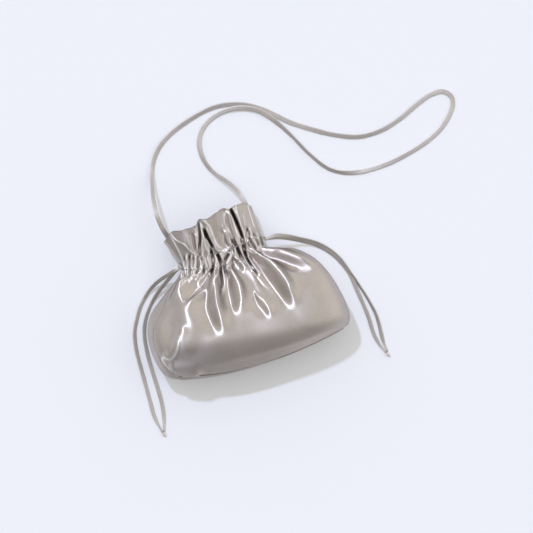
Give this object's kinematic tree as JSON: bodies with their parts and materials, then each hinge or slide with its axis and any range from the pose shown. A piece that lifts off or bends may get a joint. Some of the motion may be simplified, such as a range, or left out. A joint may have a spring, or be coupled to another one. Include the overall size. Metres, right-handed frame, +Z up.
{
  "type": "drawstring crossbody bag",
  "caption": "Stuffed metallic satin pouch lying on its back, with a gathered drawstring neck, a frilled collar, two drawstrings that end in knots and one long flat strap.",
  "frame": {"origin": "centre of the bottom of the pouch's box, on the floor that it lies on", "axes": "+Z up from the floor, +Y from the base towards the mouth, +X to the right seen from above, along the pouch's width"},
  "size_m": [0.4934, 0.3679, 0.076],
  "materials": {
    "satin_shell": "glossy metallic satin",
    "satin_inside": "satin, wrong side",
    "satin_tape": "turned satin tape"
  },
  "bodies": {
    "root": {"front_panel": "satin_shell", "back_panel": "satin_shell", "base_panel": "satin_shell", "casing_band": "satin_inside", "strap": "satin_tape", "left_drawstring_run": "satin_tape", "right_drawstring_run": "satin_tape", "left_drawstring_outer": "satin_tape", "left_drawstring_inner": "satin_tape", "right_drawstring_outer": "satin_tape", "right_drawstring_inner": "satin_tape", "left_knot": "satin_tape", "right_knot": "satin_tape"}
  },
  "joints": []
}
